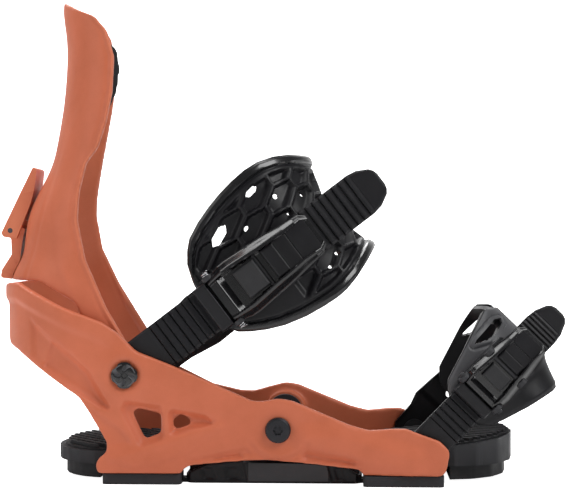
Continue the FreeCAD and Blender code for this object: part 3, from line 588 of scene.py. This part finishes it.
def ankle_pad():
    """Instep pad: an arch over the foot with a rolled rim and deep honeycomb cells, some cut right through."""
    crest, start = 160, 60.5
    arch = Arch(46, crest, 45.5)
    low = curve([60.5, 62, 66, 72, 80, 90, 103, 115, 124, 131, 140, 150, 157, 160],
                [-3, -13, -19.6, -24, -28.6, -33, -36.4, -38, -38.6, -38.2, -36, -32.4, -29.4, -28])
    high = curve([60.5, 62, 66, 71, 76, 86, 96, 106, 115, 125, 134, 143, 151, 157, 160],
                 [3, 18, 29.2, 35.8, 40.4, 45, 48.2, 50.6, 52, 52.8, 52.2, 49.6, 45.4, 41, 38.6])

    def saddle(s, v):
        """The crest dips between its two ends."""
        across = np.clip(1 - ((v - 5) / 33) ** 2, 0, 1)
        return -7.0 * across * ramp(arch.folded(s), arch.bend + 12, arch.middle)

    def lift(s, v):
        reach = arch.reach(s)
        border = np.minimum(high(reach) - v, v - low(reach))
        folded = arch.folded(s)
        border = np.minimum(border, np.minimum(s, arch.end - s) - start)
        wall, ahead = hexagon_cells(folded, v, (110.7, 23.1), [(11.5, 6.55), (12.6, -1.6), (-0.2, -7.1)])
        field = ramp(border, 8.4, 10.4) * np.maximum(ramp(v, -8, -4), ramp(folded, 108, 112))
        cells = -3.4 * np.minimum(ramp(wall, 0.55, 2.0), ramp(ahead, 0.55, 4.6)) * field
        rim = 1.3 * (1 - ramp(border, 4.6, 6.0)) - 1.1 * (1 - ramp(border, 0, 2.2))
        groove = -0.8 * np.exp(-((border - 6.3) / 0.8) ** 2)
        return cells + rim + groove + saddle(s, v)

    # each hole as its place on the near leg, its length and width, and its lean in degrees
    near_holes = [((90.5, 31.3), 15, 5.6, 23), ((121.5, 40.6), 10, 3.4, 8), ((132.2, 30.0), 3.8, 2.9, 0),
                  ((105.6, 25.2), 3.6, 2.0, 20), ((150.0, 22.4), 5.0, 2.4, -60), ((131.9, 17.4), 1.8, 1.4, 0),
                  ((132.6, -22.2), 3.4, 2.2, 10), ((142.5, -18.2), 3.8, 2.6, 10)]
    holes = [rounded_hole(*spot, long, wide, lean) for spot, long, wide, lean in near_holes]
    for (at, v), long, wide, lean in near_holes:
        far_s, far_v = seen_through(arch, ANKLE, at, v)
        wider = rounded_hole(far_s, far_v, 1.2 * long + 4, 1.2 * wide + 4, lean)
        holes.append([(2 * far_s - x, z) for x, z in wider][::-1])
    piece = arch_piece("ankle_pad_shell", ANKLE, arch, (start, arch.end - start), 0.68, low, high, lift, 4.6,
                       GLOSS, rows=132, holes=holes, under_lift=saddle)
    piece.data.materials.append(SATIN)
    rim_width = 6.0
    to_strap = ANKLE.inverted()
    satin = []
    for face in piece.data.polygons:
        point = (to_strap @ face.center) / MM
        at = min(point.x, crest)
        border = min(high(at) - point.z, point.z - low(at), point.x - start)
        satin.append(1 if border > rim_width else 0)
    piece.data.polygons.foreach_set("material_index", satin)
    stand_for(piece, "ankle_pad")


def ladder(name, node, matrix, y, half, start, length, runs, rise):
    """Toothed strap: flat slab, saw-toothed ribs in each (from, to, pitch) run, six-sided tip."""
    along = np.arange(start, length + 0.1, 0.22)
    width = curve([start, start + 2, start + 5.5, length - 15, length - 9, length - 2.6, length - 0.8, length],
                  [half * 0.55, half * 0.75, half, half, half * 0.92, half * 0.66, half * 0.48, half * 0.26])

    def top(u, v):
        height = np.full_like(u, y - 1.0)
        for low, high, pitch in runs:
            phase = ((u - low) / pitch) % 1.0
            front, back = ramp(phase, 0.0, 0.12), 1 - ramp(phase, 0.86, 0.99)
            tooth = rise * front * (1 - 0.45 * ramp(phase, 0.12, 0.86)) * back
            height += np.where((u > low) & (u < high), tooth, 0)
        flat = (u < runs[0][0]) | (u > runs[-1][1])
        height += np.where(flat, 0.75 * rise, 0)
        edge = width(u) - np.abs(v)
        end = length - u
        return height - 0.9 * (1 - ramp(np.minimum(edge, end), 0, 1.4))

    piece = heightfield(name, matrix, along, width, top, level(y - 3.2), SATIN, rows=29, sharp=28)
    stand_for(piece, node)


def block_piece(name, matrix, u0, u1, half, base, height, edge, material, body, slope):
    """Rounded block on a strap, its face tilted by slope along u."""
    along = np.arange(u0, u1 + 0.01, 0.3)
    flat = cushion(height, edge, u0, u1, half)
    piece = heightfield(name, matrix, along, level(half), lambda u, v: flat(u, v) + slope * (u - u0),
                        level(base), material, rows=33)
    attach(piece, body)
    return piece


def ratchet_lever(prefix, matrix, start, end, hinge, half, y, scale):
    """Lever with two raised rails that swell behind the hinge and close in toward the grip."""
    length = end - start

    def at(shares):
        return start + length * np.array(shares)

    width = curve(at([0, 0.08, 0.16, 0.24, 0.3, 0.5, 0.7, 0.95, 1.0]),
                  half * np.array([0.76, 0.82, 0.95, 1.06, 1.08, 1.02, 0.94, 0.80, 0.62]))
    along = np.arange(hinge - 1.6 * scale, end + 0.05, 0.4)
    rail_width = curve(at([0, 0.12, 0.26, 0.5, 0.8, 1.0]), scale * np.array([1.6, 2.8, 5.8, 6.2, 5.6, 2.4]))
    crest = curve(at([0, 0.1, 0.24, 0.6, 0.9, 1.0]), y + scale * np.array([6.0, 8.0, 12.6, 12.4, 9.0, 5.4]))
    floor = curve(at([0, 0.03, 0.17, 0.22, 0.86, 0.93, 1.0]), y + np.array([4.6, 6.6, 6.6, 3.6, 3.6, 5.2, 4.0]))

    def top(u, v):
        edge = width(u) - np.abs(v)
        w = rail_width(u)
        outer_bevel = 1 - ramp(edge, -0.4 * scale, 0.86 * w)
        inner_wall = ramp(edge, w, w + 1.1 * scale)
        height = crest(u) - (crest(u) - y - 3.4 * scale) * 0.6 * outer_bevel
        return height * (1 - inner_wall) + np.minimum(floor(u), height) * inner_wall

    def bottom(u, v):
        return y + scale * (1.6 + 2.0 * (1 - ramp(u, hinge - 1, hinge + 3)))

    piece = heightfield(prefix + "_lever_rails", matrix, along, width, top, bottom, GLOSS, rows=93, sharp=30)
    stand_for(piece, prefix + "_lever", prefix + "_lever_cover")


def ratchet(prefix, matrix, y, half, start, end, hinge, scale):
    """Lever, textured release button, inner blocks, wedge, spring coils and entry block of one buckle."""
    ratchet_lever(prefix, matrix, start, end, hinge, half * 1.22, y, scale)
    handle, cushion_body, catch = prefix + "_handle", prefix + "_cushion", prefix + "_catch"
    length = end - start

    def block(name, first, last, width, height, edge, material, body, slope):
        """Block between two shares of the lever's length, its height and edge scaled to the buckle."""
        base = y + (1.5 if name == "_button" else 2)
        return block_piece(prefix + name, matrix, start + length * first, start + length * last, half * width,
                           base, y + height * scale, edge * scale, material, body, slope)

    button = block("_button", 0.3, 0.49, 0.66, 11.0, 1.4, GRAINED, catch, -0.06)
    stand_for(button, prefix + "_pawl")
    block("_inner_block", 0.56, 0.68, 0.72, 9.2, 1.5, SATIN, handle, -0.02)
    block("_inner_step", 0.675, 0.795, 0.72, 8.8, 0.7, SATIN, handle, -0.05)
    block("_wedge", 0.795, 0.97, 0.74, 8.4, 0.5, SATIN, handle, -0.14)
    entry = block_piece(prefix + "_entry_block", matrix, start - 2.4 * scale, hinge - 3.2 * scale,
                        half * 1.08, y - 3, y + 6.2 * scale, 1.2 * scale, SATIN, cushion_body, 0.05)
    for sign in (-1, 1):
        coil = spring(prefix + "_spring_" + ("low" if sign < 0 else "high"), matrix, hinge, y + 4.4 * scale,
                      sign * half * 1.16, 1.9 * scale, 0.42 * scale, 3, 1.15 * scale * sign)
        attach(coil, cushion_body)


def spring(name, matrix, u, out, v, radius, wire, turns, pitch):
    """Torsion spring coil round the hinge pin, standing along v."""
    path = []
    for k in range(turns * 20 + 1):
        turn = 2 * math.pi * k / 20
        path.append((u + radius * math.cos(turn), -(out + radius * math.sin(turn)), v + pitch * k / 20))
    return tube(name, matrix, path, wire, BRIGHT)


def tube(name, matrix, path, radius, material):
    """Round wire along a path given in a strap's own axes."""
    sides = 10
    path = np.array(path, dtype=float)
    heading = np.gradient(path, axis=0)
    heading /= np.linalg.norm(heading, axis=1)[:, None]
    helper = np.array([0.123, 0.3, 0.9])  # no part of a coil runs along it
    first = np.cross(heading, helper)
    first /= np.linalg.norm(first, axis=1)[:, None]
    second = np.cross(heading, first)
    points, faces = [], []
    for k in range(sides):
        turn = 2 * math.pi * k / sides
        points.append(path + radius * (first * math.cos(turn) + second * math.sin(turn)))
    points = np.stack(points, 1).reshape(-1, 3)
    count = len(path)
    for i in range(count - 1):
        for k in range(sides):
            a, b = i * sides + k, i * sides + (k + 1) % sides
            faces.append((a, b, b + sides, a + sides))
    faces.append(tuple(range(sides))[::-1])
    faces.append(tuple((count - 1) * sides + k for k in range(sides)))
    turned = np.array(matrix)
    return mesh_object(name, points * MM @ turned[:3, :3].T + turned[:3, 3], faces, material)


def toe_cap():
    """Toe cap: a dark arch with a ridge and two windows, and a grey face on each side."""
    arch = Arch(50, 89, 32)
    low = curve([32, 34, 38, 45.5, 60, 80, 89], [-9, -14, -18.4, -21.5, -26.2, -31.6, -33])
    high = curve([32, 34, 40, 54.6, 69.4, 84, 89], [7.4, 11.5, 17.4, 21.8, 26.1, 29.2, 24.8])
    window = [(64.4, 20.8), (67.5, 21.6), (86, 21.6), (92, 19), (89, 16.6), (79, 15.4), (72, 16.6)]
    far_window = [(arch.end - s, v) for s, v in window][::-1]

    def settle(s, v):
        """The crest comes down toward the tip of the toe."""
        return -10.0 * ramp(-v, 12, 36) * ramp(arch.folded(s), arch.bend + 4, arch.middle)

    def band(s, v):
        reach = arch.reach(s)
        border = np.minimum(high(reach) - v, v - low(reach))
        ridge = 1.4 * np.exp(-((v + 12 + 0.1 * (reach - 60)) / 2.6) ** 2)
        return ridge + settle(s, v) - 1.4 * (1 - ramp(border, 0, 2.6))

    shell = arch_piece("toe_cap_shell", TOE, arch, (32, arch.end - 32), 0.8, low, high, band, 4.2, SATIN,
                       rows=70, holes=[window, far_window], under_lift=settle)
    stand_for(shell, "toe_cap")
    face_low = curve([32.5, 36, 42, 60, 89], [-4, -8, -10, -10, -8])
    face_high = curve([32.5, 34, 40, 54.6, 69.4, 84, 89], [7.2, 11.2, 17.1, 21.5, 25.8, 28.9, 24.5])

    face_start, face_end = 32.5, 104

    def face(s, v):
        reach = arch.reach(s)
        border = np.minimum(face_high(reach) - v, v - face_low(reach))
        border = np.minimum(border, np.minimum(s - face_start, face_end - s))
        crease = -0.9 * (1 - ramp(np.abs(polygon_distance(s, v, window) - 2.6), 0, 1.0)) * (v > 14)
        return 1.5 + crease - 1.0 * (1 - ramp(border, 0, 1.6))

    for side in ("near", "far"):
        matrix = TOE if side == "near" else TOE @ Matrix.Diagonal((1, -1, 1, 1))
        panel = arch_piece("toe_cap_face_" + side, matrix, arch, (face_start, face_end), 0.7, face_low,
                           face_high, face, -0.4, GREY, rows=60, holes=[window])
        if side == "far":
            panel.data.flip_normals()
        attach(panel, BODY_OF["toe_cap"])


def link(name, node, matrix, y, half, end, hole_at):
    """Inner connector: flat strap with a bevelled edge, a ridge line and a round hole."""
    along = np.arange(-half * 0.85, end + 0.05, 0.5)
    width = curve([along[0], along[0] + 2, along[0] + 6, 0.3 * hole_at, 0.55 * hole_at, hole_at, end - 4, end],
                  [half * 0.5, half * 0.74, half, half * 1.06, half * 1.28, half * 1.2, half, half * 0.6])

    def away(u, v):
        edge = np.minimum(width(u) - np.abs(v), end - u)
        fold = 1.2 * ramp(u, hole_at - half * 1.1, hole_at - half * 0.7)
        return -(y + 0.2 - 1.0 * (1 - ramp(edge, 0, 1.8)) - fold)

    u = np.repeat(along[:, None], 37, 1)
    v = width(u) * np.linspace(-1, 1, 37)[None, :]
    # grid points close to the hole's rim are drawn on to it, so the hole is round
    hole = 2.6
    radius = np.hypot(u - hole_at, v)
    near = np.abs(radius - hole) < 0.45
    u = np.where(near, hole_at + (u - hole_at) * hole / np.maximum(radius, 0.1), u)
    v = np.where(near, v * hole / np.maximum(radius, 0.1), v)
    inside = np.hypot(u - hole_at, v) <= hole + 0.01
    keep = ~(inside[:-1, :-1] & inside[1:, :-1] & inside[:-1, 1:] & inside[1:, 1:])
    face = np.stack([u, -away(u, v) - 3.2, v], -1)
    back = np.stack([u, y + 0.2 + 0 * u, v], -1)
    piece = slab_piece(name, matrix, face, back, SATIN, keep=keep, sharp=30)
    stand_for(piece, node)


def screws():
    """Button heads of the kingpins, with a six-lobed socket, and four-lobed thumb screws at the pivots."""
    head_radius, knob_radius = 7.3, 7.6

    def torx(angle):
        return 2.35 + 0.42 * np.cos(6 * angle)

    def button(r, angle):
        dome = 2.6 - 1.5 * (r / head_radius) ** 4
        socket = 2.2 * (1 - ramp(r, torx(angle) - 0.12, torx(angle) + 0.12))
        ring = 0.5 * np.exp(-((r - 5.6) / 0.35) ** 2)
        return dome - socket - ring

    def lobed(angle):
        return knob_radius - 1.5 * np.exp(-((np.cos(2 * angle) / 0.42) ** 2))

    def thumb(r, angle):
        arms = np.exp(-((np.sin(2 * angle + 0.24 * (r - 3)) / 0.34) ** 2))
        slot = 1.7 * arms * ramp(r, 2.2, 3.0) * (1 - ramp(r, 5.4, 6.2))
        hub = 1.3 * (1 - ramp(r, 1.5, 1.9))
        return 3.1 - 0.9 * (r / knob_radius) ** 6 - slot - hub

    for sign, side in ((-1, "outer"), (1, "inner")):
        head = polar_cap("kingpin_head_" + side, KINGPIN, sign, level(head_radius), button, 57.8, "base",
                         STEEL)
        knob = polar_cap("thumb_screw_" + side, PIVOT, sign, lobed, thumb, 57.2, "hanger", GLOSS)


def base_panel():
    """Dressed sides of the base plate: a plain centre panel between ends with shallow bowls."""
    rear, front, foot = -52, 45.5, 0.6
    x = np.arange(rear, 46, 0.5)
    share = np.linspace(0, 1, 26)
    top = np.interp(x, [rear, -50, -42, -24, 12, 36, 42, 46], [6.0, 7.4, 10.8, 13.2, 12.6, 10.6, 7.6, 5.2])
    grid_x = np.repeat(x[:, None], len(share), 1)
    grid_z = foot + (top[:, None] - foot) * share[None, :]
    centre = raised(grid_x, grid_z, [(-17, 1), (30, 1), (27, 11.5), (-19.5, 11.8)], 1.2, 1.6)
    bowl = np.zeros_like(grid_x)
    for middle, width in ((-27, 9), (-41, 8), (35, 6)):
        across = (grid_x - middle + 0.3 * (grid_z - 6)) / (0.42 * width)
        bowl -= 1.1 * np.exp(-across ** 4) * ramp(grid_z, 1.5, 3) * (1 - ramp(grid_z, 8, 10))
    border = np.minimum(np.minimum(grid_z - foot, top[:, None] - grid_z),
                        np.minimum(grid_x - rear, front - grid_x))
    lift = centre + bowl - 0.8 * (1 - ramp(border, 0, 1.0))
    for sign, side in ((-1, "outer"), (1, "inner")):
        face = np.stack([grid_x, sign * (48.2 + lift), grid_z], -1)
        back = np.stack([grid_x, np.full_like(grid_x, sign * 46.0), grid_z], -1)
        piece = slab_piece("base_side_" + side, Matrix.Identity(4), face, back, SATIN, flip=sign > 0)
        piece.data.materials.append(PANEL)
        panel = [-17.5 < f.center.x / MM < 28.5 and abs(f.normal.y) > 0.9 and f.center.z / MM > 1.4
                 for f in piece.data.polygons]
        piece.data.polygons.foreach_set("material_index", [int(inside) for inside in panel])
        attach(piece, "base")


# ------------------------------------------------------------------ build

hanger()
highback()
ankle_pad()
toe_cap()
ladder("ankle_ladder_strap", "ankle_ladder", ANKLE_LADDER, 52.2, 13.5, -11.5, 185, [(27, 171.5, 4.7)], 1.5)
ladder("toe_ladder_strap", "toe_ladder", TOE, 56.2, 10.8, -9.2, 112, [(17.5, 62, 4.0), (88, 102.5, 2.5)], 1.3)
ratchet("ankle", ANKLE, 51.6, 13.6, 62, 137.5, 71.5, 1.0)
ratchet("toe", TOE, 55.6, 10.8, 40, 91.5, 47.5, 0.74)
link("ankle_link_strap", "ankle_link", ANKLE, 51.6, 14.2, 104, 80)
link("toe_link_strap", "toe_link", TOE, 55.6, 12.4, 68, 32.2)
screws()
base_panel()
for node_name in ("mounting_disc", "base_plate", "ankle_buckle_base", "toe_buckle_base", "lean_lever", "lean_block",
                  "toe_ramp", "heel_pad"):
    soften(frame["nodes"][node_name], 0.6 * MM)


# ------------------------------------------------------------------ stage, light and camera

def area_light(name, place, target, size, power, colour=(1, 1, 1)):
    data = bpy.data.lights.new(name, "AREA")
    data.shape = "RECTANGLE"
    data.size, data.size_y = size
    data.energy = power
    data.color = colour
    light = bpy.data.objects.new(name, data)
    light.location = place
    light.rotation_euler = (Vector(target) - Vector(place)).to_track_quat("-Z", "Y").to_euler()
    bpy.context.scene.collection.objects.link(light)


def stage():
    """White paper sweep, soft lights and a dim even sky."""
    world = bpy.data.worlds.new("studio")
    world.use_nodes = True
    world.node_tree.nodes["Background"].inputs["Color"].default_value = (1, 1, 1, 1)
    world.node_tree.nodes["Background"].inputs["Strength"].default_value = 0.2
    bpy.context.scene.world = world
    half, back, rise, bend = 4.0, 1.6, 3.0, 0.6
    profile = [(-3.0, 0.0), (back - bend, 0.0)]
    profile += [(back - bend + bend * math.sin(a), bend - bend * math.cos(a))
                for a in np.linspace(0.1, math.pi / 2, 12)]
    profile.append((back, rise))
    points = [(sign * half, y, z) for y, z in profile for sign in (-1, 1)]
    faces = [(2 * i, 2 * i + 1, 2 * i + 3, 2 * i + 2) for i in range(len(profile) - 1)]
    floor = Graph("paper_floor", Roughness=0.9, Specular_IOR_Level=0.1)
    floor.colour(floor.mix(floor.noise(6.0), (0.93, 0.93, 0.93), (0.96, 0.96, 0.96)))
    floor.shader.inputs["Emission Color"].default_value = (1, 1, 1, 1)
    floor.glow_for_camera(1.0)
    mesh_object("paper_sweep", points, faces, floor.material)
    area_light("key", (1.1, -0.9, 1.3), (0, 0, 0.1), (0.9, 0.9), 17)
    area_light("fill", (-1.4, -0.9, 0.7), (-0.05, 0, 0.12), (1.0, 1.0), 4.5, (1.0, 0.97, 0.96))
    area_light("rim", (-0.5, 1.1, 1.2), (0, 0, 0.12), (1.4, 0.6), 12)
    area_light("top", (0.0, -0.1, 1.7), (0, 0, 0.1), (1.2, 0.6), 7)
    area_light("gleam", (-0.75, 0.25, 1.15), (0, 0, 0.12), (0.9, 0.5), 6)


def camera():
    """The viewpoint at the side of the part."""
    data = bpy.data.cameras.new("camera")
    data.sensor_width = 36.0
    data.lens = LENS
    eye = bpy.data.objects.new("camera", data)
    eye.location = EYE
    eye.rotation_euler = Vector(VIEW_DIRECTION).to_track_quat("-Z", "Y").to_euler()
    bpy.context.scene.collection.objects.link(eye)
    bpy.context.scene.camera = eye


stage()
camera()
bpy.context.scene.view_settings.view_transform = "Standard"
